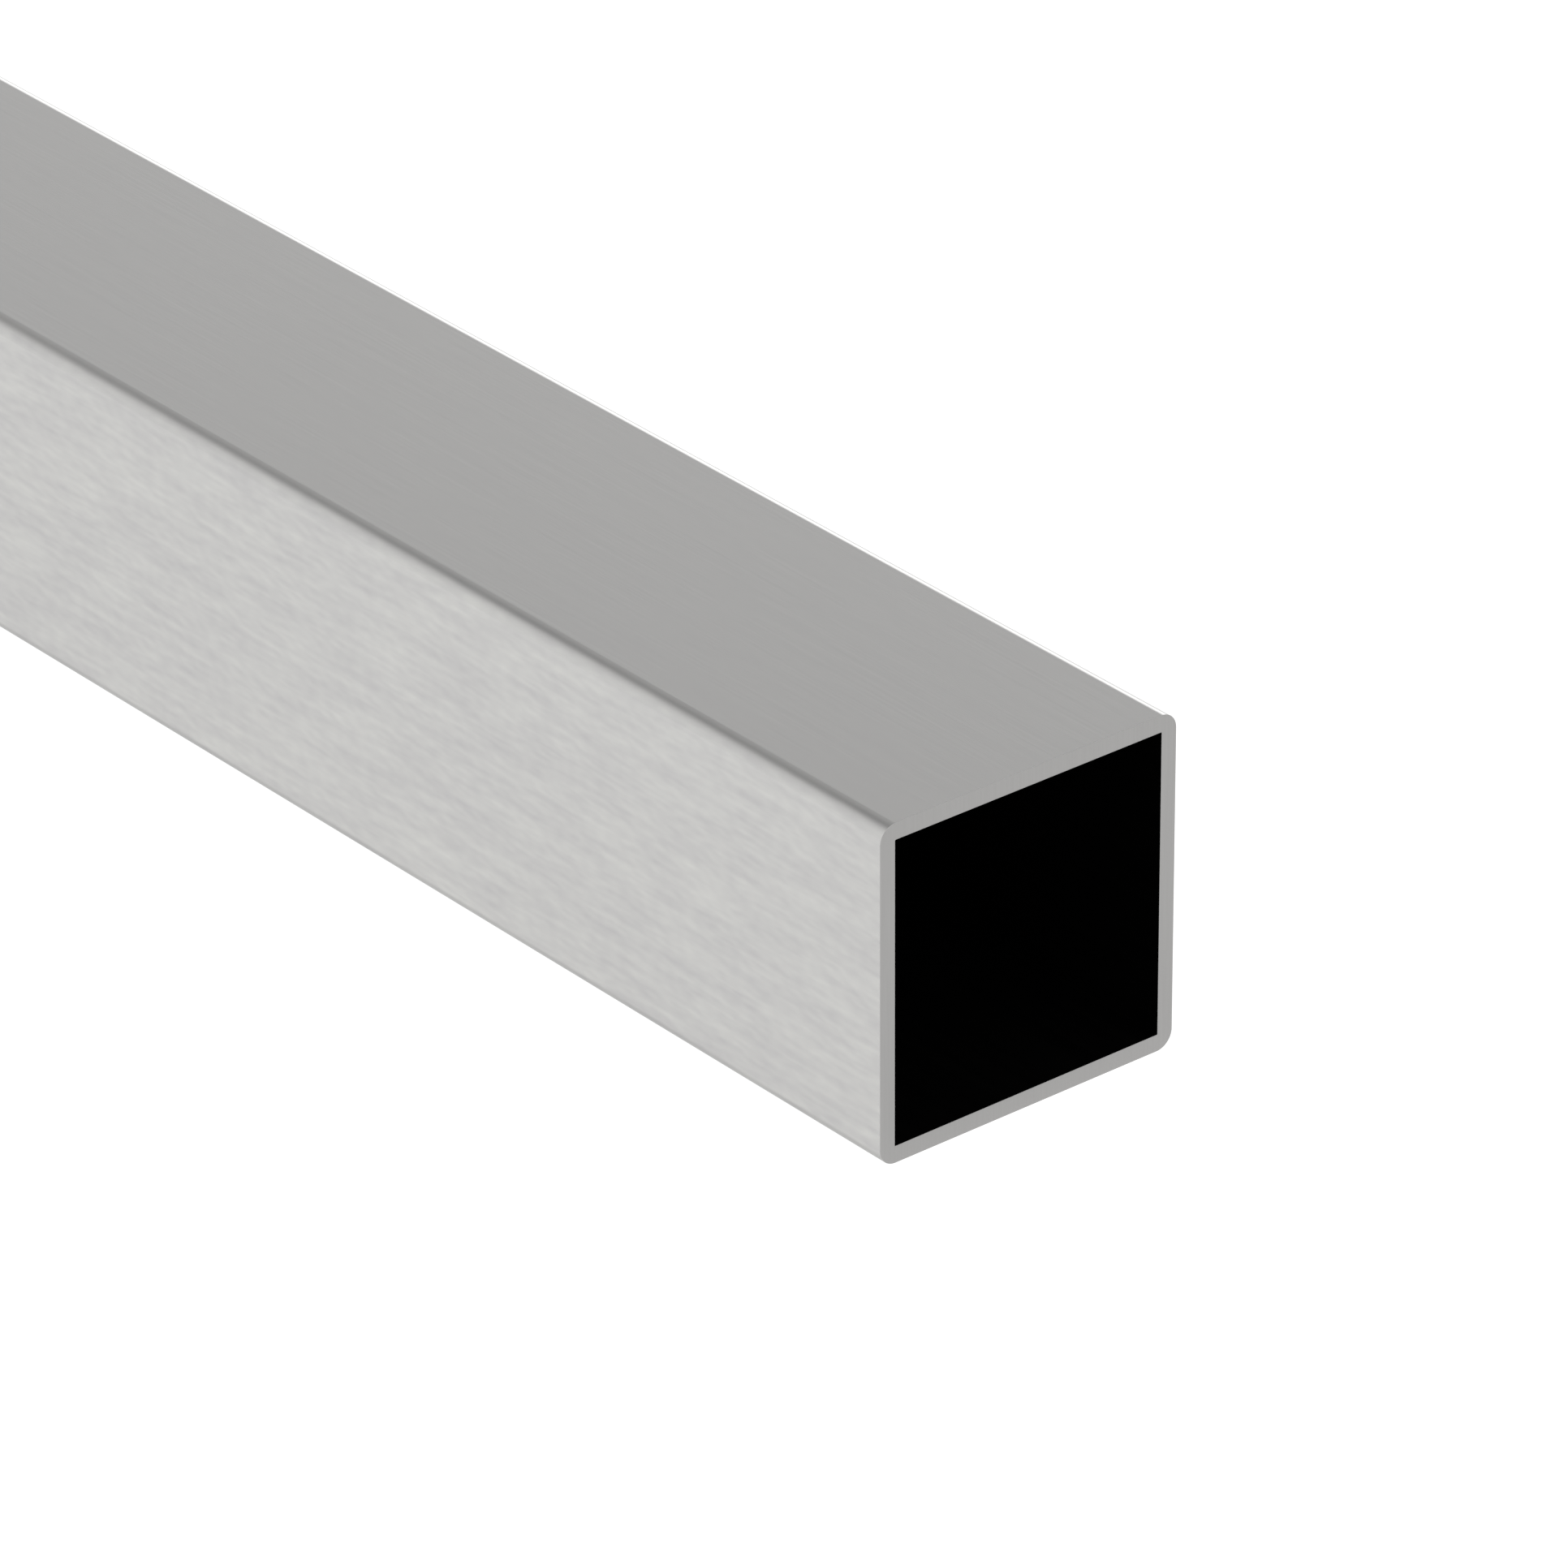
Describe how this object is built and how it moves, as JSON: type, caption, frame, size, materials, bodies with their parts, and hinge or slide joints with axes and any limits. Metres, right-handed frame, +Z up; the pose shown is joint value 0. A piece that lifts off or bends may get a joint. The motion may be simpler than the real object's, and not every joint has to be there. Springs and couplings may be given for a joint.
{
  "type": "square metal tube",
  "caption": "Straight square hollow section in brushed stainless steel, thin wall, tight bends and square deburred saw cuts, open through its whole length.",
  "frame": {"origin": "middle of the underside: half way along the tube, half way across it, on the plane that it lies on", "axes": "+X along the tube towards the cut end that shows in the picture, +Y across it to the side away from the picture's view, +Z up"},
  "size_m": [1, 0.04, 0.04],
  "materials": {
    "steel": "brushed along the length, satin; cut ends left as sawn"
  },
  "bodies": {
    "root": {"square_tube": "steel"}
  },
  "joints": []
}
